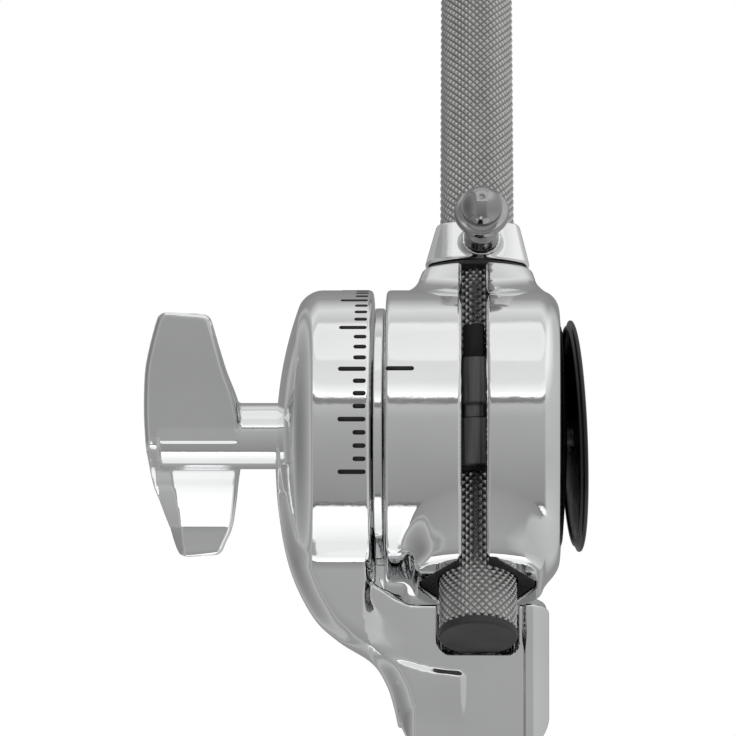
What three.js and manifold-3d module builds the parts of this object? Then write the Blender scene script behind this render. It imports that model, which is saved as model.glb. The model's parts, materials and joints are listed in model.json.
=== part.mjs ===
// Graduated boom tilter: a knurled boom rod in a split drum clamp that tilts against a dial on a stand column.
// Millimetres. +X along the tilt axis, away from the wing nut; +Y to the back; +Z up.
// The origin is the centre of the column's foot, under the rod.
import * as THREE from 'three';
import { mergeVertices } from 'three/addons/utils/BufferGeometryUtils.js';
import { ConvexGeometry } from 'three/addons/geometries/ConvexGeometry.js';
import Module from 'manifold-3d';

const wasm = await Module();
wasm.setup();

// Frame: the tilt axis and the lean of the rod
const PIVOT_Z = 49.5;
const LEAN = THREE.MathUtils.degToRad(27);

// Rod: half-inch knurled tube, measured along its axis from the tilt axis
const ROD_R = 6.35;
const ROD_WALL = 1.5;
const ROD_LOW = -35.2;
const ROD_HIGH = 163;
const END_PLUG_T = 1.2;
const GAP = 0.3;

// Dial and bracket
const DRUM_R = 24.2;
const DIAL_FACE_X = -17.2;
const SADDLE_R = 29.3;
const HUB_BORE_R = 6.2;
const COLUMN = {
  left: -12.8,
  right: 11.6,
  halfDepth: 12.5,
  top: 24,
  corner: 3.6,
  chamfer: 1.4,
  chamferUp: 2.4,
};
const ARM_HALF_DEPTH = 12;
const NOTCH = { halfWidth: 6.9, floor: 11.7, sweepR: 37.6 };
const HIDEAWAY_R = 7;
const SOCKET = { radius: 9.525, depth: 9.5 };
const PIN = { radius: 1.2, holeR: 1.45, x: 4, z: 4.5 };
const BRAKE_R = 21.2;
const SHANK_R = 3.9;
const THREAD_BORE_R = 4.2;

// Clamp: both halves together fill this drum, with a slot between them
const CLAMP = { left: -15, right: 13.5, slotLeft: -2.56, slotRight: 1.26 };
const NECK_TOP = 28;
const BOSS_END = -27;
const ROD_BORE_R = 7;
const EYE = { radius: 9.6, bore: 6.7, half: 10 };
const LINING = { upperFrom: 11.7, upperTo: 24.6, lowerFrom: -26.7, lowerTo: -11.7 };
const JOIN = { back: 13.5, along: 6, radius: 1.9, headR: 2.9 };

// Stop collar and its key screw
const COLLAR = { low: 29.2, high: 37.6, halfLow: 8.9, halfHigh: 7.3, bore: 6.6 };
const KEY = { x: 0.7, along: 32.6, radius: 2 };

// Disc on the clamp's end; it sits a little skew
const DISC = { radius: 19.2, thickness: 1.1, x: 15.95, skew: new THREE.Vector3(1, 0.037, 0.062) };
const DOME_R = 18.2;
const DISC_SCREW = { radius: 1.7, holeR: 2, headR: 3.2 };

// --- solids -------------------------------------------------------------------------------------------

/** Merges shared corners, drops flat triangles and turns the faces outwards. */
function closed(geometry) {
  const bare = new THREE.BufferGeometry();
  bare.setAttribute('position', geometry.getAttribute('position'));
  bare.setIndex(geometry.getIndex());
  const merged = mergeVertices(bare, 1e-4);
  const position = merged.getAttribute('position');
  const index = merged.getIndex().array;
  const corner = [new THREE.Vector3(), new THREE.Vector3(), new THREE.Vector3()];
  const kept = [];
  let volume = 0;
  for (let i = 0; i < index.length; i += 3) {
    const [a, b, c] = index.slice(i, i + 3);
    if (a === b || b === c || c === a) continue;
    [a, b, c].forEach((v, k) => corner[k].fromBufferAttribute(position, v));
    volume += corner[0].dot(corner[1].cross(corner[2]));
    kept.push([a, b, c]);
  }
  const turned = volume < 0 ? kept.map(([a, b, c]) => [a, c, b]) : kept;
  merged.setIndex(turned.flat());
  return merged;
}

function toSolid(geometry) {
  const shape = closed(geometry);
  const vertProperties = new Float32Array(shape.getAttribute('position').array);
  const triVerts = new Uint32Array(shape.getIndex().array);
  return new wasm.Manifold(new wasm.Mesh({ numProp: 3, vertProperties, triVerts }));
}

function toGeometry(solid) {
  const { vertProperties, triVerts } = solid.getMesh();
  const geometry = new THREE.BufferGeometry();
  geometry.setAttribute('position', new THREE.BufferAttribute(new Float32Array(vertProperties), 3));
  geometry.setIndex(Array.from(triVerts));
  geometry.computeVertexNormals();
  return geometry;
}

const join = (first, ...others) => others.reduce((sum, next) => sum.add(next), first);
const cut = (first, ...others) => others.reduce((rest, next) => rest.subtract(next), first);

// Each axis name maps a shape's own (x, y, depth) onto the part's axes
const AXES = {
  x: new THREE.Matrix4().makeBasis(
    new THREE.Vector3(0, 1, 0), new THREE.Vector3(0, 0, 1), new THREE.Vector3(1, 0, 0)),
  y: new THREE.Matrix4().makeBasis(
    new THREE.Vector3(1, 0, 0), new THREE.Vector3(0, 0, 1), new THREE.Vector3(0, -1, 0)),
  z: new THREE.Matrix4(),
};

/** A round piece about an axis through the origin: profile rows are [radius, distance along the axis]. */
function turned(profile, axis, sides = 32) {
  const points = profile.map(([radius, along]) => new THREE.Vector2(radius, along));
  const geometry = new THREE.LatheGeometry(points, sides);
  geometry.rotateX(Math.PI / 2);
  if (axis === 'y') geometry.scale(1, 1, -1);
  return toSolid(geometry.applyMatrix4(AXES[axis]));
}

/** A round bar or, with an inner radius, a ring. */
function bar(axis, radius, from, to, inner = 0, sides = 32) {
  const outline = [[inner, from], [radius, from], [radius, to], [inner, to]];
  if (inner > 0) outline.push([inner, from]);
  return turned(outline, axis, sides);
}

/** An outline of [x, y] rows in the plane across an axis, extruded along that axis. */
function prism(outline, axis, from, to) {
  const shape = outline instanceof THREE.Shape
    ? outline
    : new THREE.Shape(outline.map(([x, y]) => new THREE.Vector2(x, y)));
  const geometry = new THREE.ExtrudeGeometry(shape, { depth: to - from, bevelEnabled: false, curveSegments: 24 });
  geometry.translate(0, 0, axis === 'y' ? -to : from);
  return toSolid(geometry.applyMatrix4(AXES[axis]));
}

function block(x, y, z) {
  const geometry = new THREE.BoxGeometry(x[1] - x[0], y[1] - y[0], z[1] - z[0]);
  geometry.translate((x[0] + x[1]) / 2, (y[0] + y[1]) / 2, (z[0] + z[1]) / 2);
  return toSolid(geometry);
}

/** Points of a rounded rectangle ring with crowned sides at one height. */
function ring(halfWidth, halfDepth, z, power = 0.55, count = 24) {
  return Array.from({ length: count }, (_, i) => {
    const angle = (i + 0.5) * 2 * Math.PI / count;
    const bulge = (value) => Math.sign(value) * Math.abs(value) ** power;
    return new THREE.Vector3(halfWidth * bulge(Math.cos(angle)), halfDepth * bulge(Math.sin(angle)), z);
  });
}

const hull = (rings) => toSolid(new ConvexGeometry(rings.flat()));

// --- bracket ------------------------------------------------------------------------------------------

/** Dial drum with its shallow dome, about the tilt axis. */
function dialDrum() {
  const profile = [
    [0, -33.3], [6.6, -33.1], [12.6, -32], [18.6, -30.5], [22.6, -29], [23.9, -27.9], [DRUM_R, -26.6],
    [DRUM_R, DIAL_FACE_X], [0, DIAL_FACE_X],
  ];
  return turned(profile, 'x', 64).translate(0, 0, PIVOT_Z);
}

/** Arm from the dial down to the column: its front outline, as deep as the column. */
function bracketArm() {
  const front = new THREE.Shape();
  front.moveTo(-33, PIVOT_Z - 2);
  front.splineThru([
    new THREE.Vector2(-32.7, 37.7), new THREE.Vector2(-30.8, 27.7), new THREE.Vector2(-27, 19.8),
    new THREE.Vector2(-22.8, 15.8), new THREE.Vector2(-16.9, 11.8), new THREE.Vector2(-14.2, 7.4),
    new THREE.Vector2(-13, 1.8),
  ]);
  front.lineTo(-5, 1.8);
  front.lineTo(-5, 22);
  front.lineTo(DIAL_FACE_X, 26);
  front.lineTo(DIAL_FACE_X, PIVOT_Z - 2);
  return prism(front, 'y', -ARM_HALF_DEPTH, ARM_HALF_DEPTH);
}

/** Column with rounded corners and a chamfered foot. */
function column() {
  const { left, right, halfDepth, top, corner, chamfer, chamferUp } = COLUMN;
  const outline = (inset, z) => {
    const points = [];
    const arc = corner - inset * 0.4;
    for (const [sx, sy, start] of [[1, 1, 0], [-1, 1, 1], [-1, -1, 2], [1, -1, 3]]) {
      const edgeX = sx > 0 ? right : left;
      for (let k = 0; k <= 4; k += 1) {
        const angle = (start + k / 4) * Math.PI / 2;
        const x = edgeX - sx * (inset + arc) + arc * Math.cos(angle);
        const y = sy * (halfDepth - inset - arc) + arc * Math.sin(angle);
        points.push(new THREE.Vector3(x, y, z));
      }
    }
    return points;
  };
  return hull([outline(chamfer, 0), outline(0, chamferUp), outline(0, top)]);
}

/** Front notch that the rod's lower end swings through; its floor is an arc about the tilt axis. */
const rodNotch = () =>
  block([-NOTCH.halfWidth, NOTCH.halfWidth], [-20, 0], [NOTCH.floor, 30]).intersect(
    bar('x', NOTCH.sweepR, -NOTCH.halfWidth - 1, NOTCH.halfWidth + 1, 0, 64).translate(0, 0, PIVOT_Z),
  );

function bracketCasting() {
  const pinHoles = [-1, 1].map((side) => bar('y', PIN.holeR, 7, 13, 0, 12).translate(side * PIN.x, 0, PIN.z));
  const body = cut(
    join(bracketArm(), column()),
    bar('x', SADDLE_R, DIAL_FACE_X, 20, 0, 64).translate(0, 0, PIVOT_Z),
    bar('z', HIDEAWAY_R, 5, 30),
    bar('z', SOCKET.radius, -1, SOCKET.depth),
    rodNotch(),
    ...pinHoles,
  );
  return cut(join(body, dialDrum()), bar('x', HUB_BORE_R, -40, -10).translate(0, 0, PIVOT_Z));
}

// --- tilt stack between bracket and clamp --------------------------------------------------------------

const brakeRing = () => bar('x', BRAKE_R, DIAL_FACE_X + GAP, CLAMP.left - GAP, 12.5, 48);
const shankBush = () => bar('x', HUB_BORE_R - GAP, -26.6, DIAL_FACE_X, THREAD_BORE_R, 24);
const thrustWasher = () => bar('x', HUB_BORE_R - GAP, -28.2, -26.9, THREAD_BORE_R, 24);

/** Conical disc spring that parts the clamp from the dial when the wing nut is slack. */
const releaseSpring = () => turned(
  [[5, -16.1], [5, -15.5], [10.5, -16.3], [10.5, -16.9], [5, -16.1]], 'x', 32);

// --- wing nut -----------------------------------------------------------------------------------------

/** Side section of the wings: each sweeps off its own side of the hub; rows are [y, z]. */
function wingSection() {
  const frontDown = [[0.3, -6.4], [2.6, -8.4], [4.7, -10.9], [6.1, -13.6], [6.6, -15.6], [6.7, -20.6]];
  const half = [[-5.5, 0], [-2.4, -4.9], ...frontDown, [9.2, -20.6]];
  return half.concat(half.map(([y, z]) => [-y, -z]));
}

function wingNut() {
  const wings = new THREE.Shape();
  wings.moveTo(-39, 5);
  wings.splineThru([new THREE.Vector2(-41.4, 10.6), new THREE.Vector2(-43.4, 18.4)]);
  wings.quadraticCurveTo(-44, 20.6, -46, 20.6);
  wings.lineTo(-50.4, 20.6);
  wings.quadraticCurveTo(-52.2, 20.4, -52.7, 18.4);
  wings.splineThru([
    new THREE.Vector2(-54.7, 10.6), new THREE.Vector2(-55, 0), new THREE.Vector2(-53.2, -11.3),
    new THREE.Vector2(-50.8, -18.6),
  ]);
  wings.quadraticCurveTo(-50.2, -20.6, -48.4, -20.6);
  wings.lineTo(-44.6, -20.6);
  wings.quadraticCurveTo(-43, -20.5, -42.5, -18.6);
  wings.splineThru([new THREE.Vector2(-40.6, -11.3), new THREE.Vector2(-39, -5)]);
  const blades = prism(wings, 'y', -10, 10).intersect(prism(wingSection(), 'x', -60, -30));
  return cut(join(blades, bar('x', 5.55, -53.4, -28.5)), bar('x', THREAD_BORE_R, -50, -28, 0, 24));
}

// --- clamp --------------------------------------------------------------------------------------------

/** Outline of one V lining, or of its wider pocket, on the positive X side; rows are [x, distance to the front]. */
function liningOutline(edge, pocket = false) {
  const m = pocket ? GAP : 0;
  const outer = [
    [edge, 8.7 + m], [2.9, 8.6 + m], [9 + m, 0.6 + m / 2], [9 + m, -1.2 - m / 2], [6.6 + m, -6 - m],
    [edge, -8.2 - m],
  ];
  const inner = [[edge, -7], [5.7, -4.9], [7.7, -0.9], [7.7, 0.8], [3, 6.95], [edge, 7.3]];
  const middle = [[0, -8.2 - m], [0, 8.7 + m]];
  return outer.concat(pocket ? middle : inner);
}

const liningEdge = (side) => (side > 0 ? CLAMP.slotRight : -CLAMP.slotLeft) + GAP;
const liningPrism = (side, pocket, from, to) => prism(
  liningOutline(liningEdge(side), pocket).map(([x, front]) => [side * x, -front]), 'z', from, to);

/** Drum, neck and boss of both halves as one piece, before the slot parts it. */
function clampBlank() {
  const { left, right } = CLAMP;
  const drum = turned(
    [[0, left], [23.4, left], [DRUM_R, left + 0.8], [DRUM_R, 9.5], [23.3, 11.4], [20.6, right], [0, right]],
    'x', 64);
  const neck = hull([ring(12.9, 14, 8), ring(12, 13.6, 20), ring(8.7, 9.6, NECK_TOP)]);
  const boss = hull([ring(12.9, 14, -8), ring(11.4, 13.6, -20), ring(10.4, 10, BOSS_END)]);
  return join(drum, neck, boss);
}

/** Everything that is hollow inside the closed clamp. */
function clampHollows() {
  const pockets = [1, -1].flatMap((side) => [
    liningPrism(side, true, -40, 0),
    liningPrism(side, true, 0, LINING.upperTo + GAP),
  ]);
  const screwHoles = [-1, 1].flatMap((side) => [
    bar('x', JOIN.radius + GAP, -12.4, 14, 0, 16).translate(0, JOIN.back, side * JOIN.along),
    bar('x', JOIN.headR + GAP, 10.9, 14, 0, 16).translate(0, JOIN.back, side * JOIN.along),
  ]);
  return join(
    bar('z', EYE.radius + 0.6, -EYE.half - 1.3, EYE.half + 1.3, 0, 32),
    bar('z', ROD_BORE_R, 0, 40),
    ...pockets,
    bar('x', SHANK_R + 0.4, -20, 0, 0, 24),
    bar('x', DISC_SCREW.holeR, 10.7, 20, 0, 12),
    ...screwHoles,
  );
}

function clampHalf(side) {
  const reach = 40;
  const x = side > 0 ? [-reach, CLAMP.slotRight] : [CLAMP.slotLeft, reach];
  return cut(clampBlank(), clampHollows(), block(x, [-reach, reach], [-reach, reach]));
}

/** Eye round the rod with a threaded shank to the wing nut. */
function eyebolt() {
  const eye = join(bar('z', EYE.radius, -EYE.half, EYE.half, 0, 32), bar('x', SHANK_R, -49.5, 0, 0, 24));
  return cut(eye, bar('z', EYE.bore, -20, 20, 0, 32));
}

const joiningScrew = () => join(bar('x', JOIN.radius, -12, 12, 0, 16), bar('x', JOIN.headR, 11.2, 13.2, 0, 16));
const spacer = () => bar('x', 3.6, CLAMP.slotLeft + GAP, CLAMP.slotRight - GAP, JOIN.radius + GAP, 20);

function faceDome() {
  const profile = [[2.2, 13.8], [DOME_R, 13.8], [15, 14.15], [8, 14.6], [2.2, 14.8], [2.2, 13.8]];
  return turned(profile, 'x', 40);
}

const endDisc = () => bar('x', DISC.radius, -DISC.thickness / 2, DISC.thickness / 2, 2.4, 48);
const discScrew = () => join(
  bar('x', DISC_SCREW.radius, 11, 17, 0, 12),
  bar('x', DISC_SCREW.headR, 16.85, 17.8, 0, 20),
);

// --- rod ----------------------------------------------------------------------------------------------

const boomRod = () => bar('z', ROD_R, ROD_LOW, ROD_HIGH, ROD_R - ROD_WALL, 32);
const plugSpigotR = ROD_R - ROD_WALL - GAP;

const rodEndPlug = () => join(
  bar('z', ROD_R, ROD_LOW - GAP - END_PLUG_T, ROD_LOW - GAP),
  bar('z', plugSpigotR, ROD_LOW - GAP - 0.5, ROD_LOW + 7, 0, 20),
);

const rodTopPlug = () => join(
  bar('z', plugSpigotR, ROD_HIGH - 8, ROD_HIGH + GAP + 0.5, 0, 20),
  turned([[0, ROD_HIGH + GAP], [6.2, ROD_HIGH + GAP], [5.6, ROD_HIGH + 1.5], [0, ROD_HIGH + 1.5]], 'z', 32),
);

// --- stop collar --------------------------------------------------------------------------------------

function stopCollar() {
  const { low, high, halfLow, halfHigh, bore } = COLLAR;
  const body = hull([ring(halfLow, halfLow, low, 0.7), ring(halfHigh, halfHigh, high, 0.8)]);
  const boss = bar('y', 3.6, -9.6, -5, 0, 24).translate(KEY.x, 0, KEY.along);
  return cut(
    join(body, boss),
    bar('z', bore, 20, 50),
    bar('y', KEY.radius + GAP, -12, -2, 0, 20).translate(KEY.x, 0, KEY.along),
  );
}

const collarPad = () => bar('y', 1.9, -7.7, -6.75, 0, 16);

/** Ball-headed flanged screw, turned about the front-facing axis; rows are [radius, distance to the front]. */
function keyScrew() {
  const profile = [
    [0, 8], [KEY.radius, 8], [KEY.radius, 9.9], [2.85, 9.9], [2.4, 11.5], [2.9, 11.9], [2.9, 12.5], [2.2, 12.9],
    [2.3, 16.2], [4.6, 17], [4.6, 18.3], [3.3, 18.7], [3.45, 19.6], [2.95, 21.3], [1.7, 22.5], [0, 22.9],
  ];
  return turned(profile.map(([radius, front]) => [radius, -front]), 'y', 24);
}

// --- bracket inserts ----------------------------------------------------------------------------------

const tubeSeatRing = () => bar('z', SOCKET.radius - 0.2, 7.9, SOCKET.depth - GAP, 7.1, 32);
const socketPin = () => bar('y', PIN.radius, 9.3, 12.3, 0, 12);

// --- assembly -----------------------------------------------------------------------------------------

const finish = (color, roughness, metalness) => () => new THREE.MeshStandardMaterial({ color, roughness, metalness });
const chrome = finish(0xd2d4d6, 0.08, 1);
const steel = finish(0xa9abad, 0.3, 1);
const spring = finish(0x6f7275, 0.35, 1);
const nylon = finish(0x17171a, 0.55, 0);
const blackCap = finish(0x121214, 0.3, 0);

function piece(name, solid, material, [x, y, z] = [0, 0, 0]) {
  const mesh = new THREE.Mesh(toGeometry(solid), material());
  mesh.name = name;
  mesh.position.set(x, y, z);
  return mesh;
}

const tilter = new THREE.Group();
tilter.add(piece('bracket_casting', bracketCasting(), chrome));
tilter.add(piece('tube_seat_ring', tubeSeatRing(), nylon));
for (const [name, x] of [['socket_pin_left', -PIN.x], ['socket_pin_right', PIN.x]]) {
  tilter.add(piece(name, socketPin(), steel, [x, 0, PIN.z]));
}

// Round pieces on the tilt axis that don't lean with the rod
const axisGroup = new THREE.Group();
axisGroup.position.set(0, 0, PIVOT_Z);
axisGroup.add(piece('brake_ring', brakeRing(), chrome));
axisGroup.add(piece('shank_bush', shankBush(), nylon));
axisGroup.add(piece('release_spring', releaseSpring(), spring));
axisGroup.add(piece('thrust_washer', thrustWasher(), steel));
axisGroup.add(piece('wing_nut', wingNut(), chrome));
tilter.add(axisGroup);

// Everything that leans with the rod: here Z runs along the rod and -Y faces the front
const tiltGroup = new THREE.Group();
tiltGroup.position.set(0, 0, PIVOT_Z);
tiltGroup.rotation.x = -LEAN;
tiltGroup.add(piece('clamp_inner_half', clampHalf(-1), chrome));
tiltGroup.add(piece('clamp_outer_half', clampHalf(1), chrome));
for (const [place, from, to] of [
  ['upper', LINING.upperFrom, LINING.upperTo],
  ['lower', LINING.lowerFrom, LINING.lowerTo],
]) {
  tiltGroup.add(piece(`${place}_lining_inner`, liningPrism(-1, false, from, to), nylon));
  tiltGroup.add(piece(`${place}_lining_outer`, liningPrism(1, false, from, to), nylon));
}
tiltGroup.add(piece('eyebolt', eyebolt(), spring));
for (const [place, side] of [['upper', 1], ['lower', -1]]) {
  const at = [0, JOIN.back, side * JOIN.along];
  tiltGroup.add(piece(`joining_screw_${place}`, joiningScrew(), steel, at));
  tiltGroup.add(piece(`spacer_${place}`, spacer(), steel, at));
}
tiltGroup.add(piece('face_dome', faceDome(), blackCap));
const disc = piece('end_disc', endDisc(), blackCap, [DISC.x, 0, 0]);
disc.quaternion.setFromUnitVectors(new THREE.Vector3(1, 0, 0), DISC.skew.clone().normalize());
tiltGroup.add(disc);
tiltGroup.add(piece('disc_screw', discScrew(), steel));
tiltGroup.add(piece('boom_rod', boomRod(), steel));
tiltGroup.add(piece('rod_end_plug', rodEndPlug(), nylon));
tiltGroup.add(piece('rod_top_plug', rodTopPlug(), nylon));
tiltGroup.add(piece('stop_collar', stopCollar(), chrome));
tiltGroup.add(piece('collar_pad', collarPad(), nylon, [KEY.x, 0, KEY.along]));
tiltGroup.add(piece('key_screw', keyScrew(), chrome, [KEY.x, 0, KEY.along]));
tilter.add(tiltGroup);

export default tilter;
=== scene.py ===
import json
import math
import bpy
import numpy as np
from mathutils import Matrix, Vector


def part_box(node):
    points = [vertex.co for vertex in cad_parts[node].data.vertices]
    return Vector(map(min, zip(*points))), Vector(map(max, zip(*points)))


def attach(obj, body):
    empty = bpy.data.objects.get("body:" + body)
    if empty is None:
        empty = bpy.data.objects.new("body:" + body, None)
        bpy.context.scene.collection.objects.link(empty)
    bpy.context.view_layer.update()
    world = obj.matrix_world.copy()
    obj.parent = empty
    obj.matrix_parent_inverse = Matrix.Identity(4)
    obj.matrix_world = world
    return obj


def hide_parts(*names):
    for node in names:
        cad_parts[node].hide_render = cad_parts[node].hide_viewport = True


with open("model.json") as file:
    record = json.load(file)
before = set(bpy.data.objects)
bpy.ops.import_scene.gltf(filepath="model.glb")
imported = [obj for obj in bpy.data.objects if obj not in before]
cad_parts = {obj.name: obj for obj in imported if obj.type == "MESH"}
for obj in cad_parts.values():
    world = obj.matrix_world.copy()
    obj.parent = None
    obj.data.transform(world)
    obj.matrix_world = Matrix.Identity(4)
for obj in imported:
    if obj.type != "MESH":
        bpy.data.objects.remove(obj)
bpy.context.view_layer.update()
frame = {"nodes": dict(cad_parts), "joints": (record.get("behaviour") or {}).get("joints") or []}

MM = 0.001

# The tilt axis, read from the tilt joint, and the rod's lean, read from the rod's slide.
joints = {joint["name"]: joint for joint in frame["joints"]}
PIVOT = np.array(joints["tilt"]["pos_m"]) / MM
ALONG_ROD = np.array(joints["rod_slide"]["axis"])
LEAN = math.atan2(ALONG_ROD[1], ALONG_ROD[2])


# ---------------------------------------------------------------------------------------------
# Camera: a long lens in front of the part and nearly level with the tilt axis, turned a little
# up and to the left.
CAMERA_OFFSET = Vector((-2.08, -581.0, -2.3))
TURNED_LEFT, TILTED_UP = math.radians(1.5875), math.radians(1.3416)
LENS, FILM_WIDTH = 171.1957, 36.0

camera_data = bpy.data.cameras.new("camera")
camera = bpy.data.objects.new("camera", camera_data)
bpy.context.scene.collection.objects.link(camera)
bpy.context.scene.camera = camera
camera_data.sensor_width = FILM_WIDTH
camera_data.lens = LENS
camera_data.clip_start = 0.01
camera_data.clip_end = 20.0
camera.location = (Vector(PIVOT) + CAMERA_OFFSET) * MM
camera.rotation_euler = (math.pi / 2 + TILTED_UP, 0.0, TURNED_LEFT)


# ---------------------------------------------------------------------------------------------
# Light: a pale studio tent. It is white above and below, with a grey opening in front edged by
# dark seams, a darker and higher one behind and grey side walls, so that plate shows soft bands.
def link(tree, *pairs):
    """Joins sockets pair by pair."""
    for start, end in pairs:
        tree.links.new(start, end)


def node(tree, kind, **inputs):
    """Adds a node; each keyword sets the input of that name, with underscores for spaces."""
    made = tree.nodes.new(kind)
    for name, value in inputs.items():
        made.inputs[name.replace("_", " ")].default_value = value
    return made


def ramp(tree, stops):
    """A colour ramp with grey or coloured stops: rows of (place, grey or colour)."""
    made = tree.nodes.new("ShaderNodeValToRGB")
    while len(made.color_ramp.elements) < len(stops):
        made.color_ramp.elements.new(0.5)
    for element, (place, colour) in zip(made.color_ramp.elements, stops):
        element.position = place
        rgb = (colour,) * 3 if isinstance(colour, (int, float)) else colour
        element.color = (*rgb, 1.0)
    return made


def maths(tree, operation, first, second=0.0):
    """A math node on sockets or plain numbers."""
    made = tree.nodes.new("ShaderNodeMath")
    made.operation = operation
    for index, value in enumerate((first, second)):
        if isinstance(value, (int, float)):
            made.inputs[index].default_value = value
        else:
            tree.links.new(value, made.inputs[index])
    return made.outputs[0]


world = bpy.data.worlds.new("tent")
bpy.context.scene.world = world
world.use_nodes = True
tent = world.node_tree
tent.nodes.clear()
ray = tent.nodes.new("ShaderNodeTexCoord")
split = tent.nodes.new("ShaderNodeSeparateXYZ")
link(tent, (ray.outputs["Generated"], split.inputs[0]))
height = maths(tent, "ARCSINE", split.outputs["Z"])
flat = maths(tent, "SQRT", maths(tent, "SUBTRACT", 1.0, maths(tent, "POWER", split.outputs["Z"], 2.0)))
behind = maths(tent, "DIVIDE", split.outputs["Y"], maths(tent, "MAXIMUM", flat, 0.001))
# Elevation in degrees; from front to back the opening's edges rise by twice this many
REAR_LIFT = 9.0
lowered = maths(tent, "SUBTRACT", maths(tent, "MULTIPLY", height, math.degrees(1.0)),
                maths(tent, "MULTIPLY", maths(tent, "ADD", behind, 1.0), REAR_LIFT))
place = maths(tent, "ADD", maths(tent, "DIVIDE", lowered, 180.0), 0.5)


def tent_stops(*rows):
    """Elevations in degrees to ramp places."""
    return [(elevation / 180.0 + 0.5, grey) for elevation, grey in rows]


opening = ramp(tent, tent_stops(
    (-90, 1.0), (-72, 1.15), (-64, 1.4), (-57, 1.2), (-55.5, 0.12), (-52, 0.30), (-12, 0.38), (14, 0.44),
    (24.5, 0.54), (25.5, 0.22), (29.5, 0.24), (30.5, 1.5), (34, 1.1), (42, 0.84), (60, 0.8), (62, 0.95),
    (80, 0.9)))
far_side = ramp(tent, tent_stops((-90, 0.95), (-84, 0.42), (-60, 0.32), (0, 0.26), (25, 0.34), (45, 0.8),
                                 (60, 0.62), (64, 0.95), (90, 0.85)))
right_side = ramp(tent, tent_stops((-90, 0.9), (-50, 0.6), (-20, 0.5), (20, 0.58), (45, 1.0), (90, 0.9)))
# Seen from left to right the left-hand wall is grey, with one light and one dark strip beside the opening
left_side = ramp(tent, [(0.0, 0.22), (0.08, 0.32), (0.15, 0.40), (0.20, 0.50), (0.22, 0.46), (0.24, 0.33),
                        (0.26, 0.36), (0.27, 0.46), (0.29, 0.44)])
left_share = ramp(tent, [(0.0, 1.0), (0.285, 1.0), (0.30, 0.0), (1.0, 0.0)])
right_share = ramp(tent, [(0.0, 0.0), (0.68, 0.0), (0.76, 1.0), (1.0, 1.0)])
far_share = ramp(tent, [(0.0, 0.0), (0.52, 0.0), (0.66, 1.0), (1.0, 1.0)])
aside = maths(tent, "ADD", maths(tent, "MULTIPLY", split.outputs["X"], 0.5), 0.5)
depth = maths(tent, "ADD", maths(tent, "MULTIPLY", behind, 0.5), 0.5)
for part, value in ((opening, place), (far_side, place), (right_side, place), (left_side, aside),
                    (left_share, aside), (right_share, aside), (far_share, depth)):
    link(tent, (value, part.inputs[0]))


def blend(tree, share, first, second):
    """Mixes two colours by a share."""
    made = tree.nodes.new("ShaderNodeMix")
    made.data_type = "RGBA"
    link(tree, (share, made.inputs["Factor"]), (first, made.inputs[6]), (second, made.inputs[7]))
    return made.outputs[2]


shell = blend(tent, far_share.outputs[0], opening.outputs[0], far_side.outputs[0])
shell = blend(tent, left_share.outputs[0], shell, left_side.outputs[0])
shell = blend(tent, right_share.outputs[0], shell, right_side.outputs[0])
seen = tent.nodes.new("ShaderNodeLightPath")
white = tent.nodes.new("ShaderNodeMix")
white.data_type = "RGBA"
white.inputs[7].default_value = (1.0, 1.0, 1.0, 1.0)
link(tent, (seen.outputs["Is Camera Ray"], white.inputs["Factor"]), (shell, white.inputs[6]))
background = tent.nodes.new("ShaderNodeBackground")
world_out = tent.nodes.new("ShaderNodeOutputWorld")
link(tent, (white.outputs[2], background.inputs["Color"]), (background.outputs[0], world_out.inputs[0]))
bpy.context.scene.view_settings.view_transform = "Standard"

# The floor lies well below, since the part sits on top of a stand's tube.
FLOOR_DROP, FLOOR_R = 0.30, 1.1
angles = np.linspace(0, 2 * math.pi, 97)[:-1]
rim = np.column_stack([FLOOR_R * np.cos(angles), FLOOR_R * np.sin(angles), np.full(len(angles), -FLOOR_DROP)])
floor_mesh = bpy.data.meshes.new("floor")
floor_mesh.from_pydata(rim.tolist(), [], [list(range(len(rim)))])
floor = bpy.data.objects.new("floor", floor_mesh)
bpy.context.scene.collection.objects.link(floor)
floor_material = bpy.data.materials.new("pale_floor")
floor_material.use_nodes = True
floor_shader = floor_material.node_tree.nodes["Principled BSDF"]
floor_shader.inputs["Base Color"].default_value = (0.93, 0.93, 0.93, 1)
floor_shader.inputs["Roughness"].default_value = 0.7
floor_mesh.materials.append(floor_material)
floor.visible_glossy = False


# ---------------------------------------------------------------------------------------------
# Bracket: one zinc die casting with dial drum, arm and column, polished and chrome plated.
# Its edges are rounded and its corners filleted, as they come out of the die.
def round_join(a, b, radius):
    """Union of two signed distances with a round fillet: within the radius of both surfaces the distance is
    the radius less the length of the two remaining steps."""
    left = np.hypot(np.maximum(radius - a, 0), np.maximum(radius - b, 0))
    return np.maximum(radius, np.minimum(a, b)) - left


def round_common(a, b, radius):
    """Intersection of two signed distances with a rounded edge."""
    return -round_join(-a, -b, radius)


def slab(value, low, high):
    """Distance to the space between two parallel faces."""
    return np.abs(value - (low + high) / 2) - (high - low) / 2


def outline_distance(u, v, points):
    """Signed distance in a plane to a closed outline: the nearest edge, negative where an odd number of edges
    lies to one side."""
    nearest, inside = np.float64(np.inf), False
    for (ax, ay), (bx, by) in zip(points, np.roll(points, -1, 0)):
        ex, ey = bx - ax, by - ay
        along = np.clip(((u - ax) * ex + (v - ay) * ey) / (ex * ex + ey * ey), 0, 1)
        nearest = np.minimum(nearest, (u - ax - ex * along) ** 2 + (v - ay - ey * along) ** 2)
        inside = inside ^ (((ay > v) != (by > v)) & (u < ex * (v - ay) / (ey or 1e-9) + ax))
    return np.where(inside, -1.0, 1.0) * np.sqrt(nearest)


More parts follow.
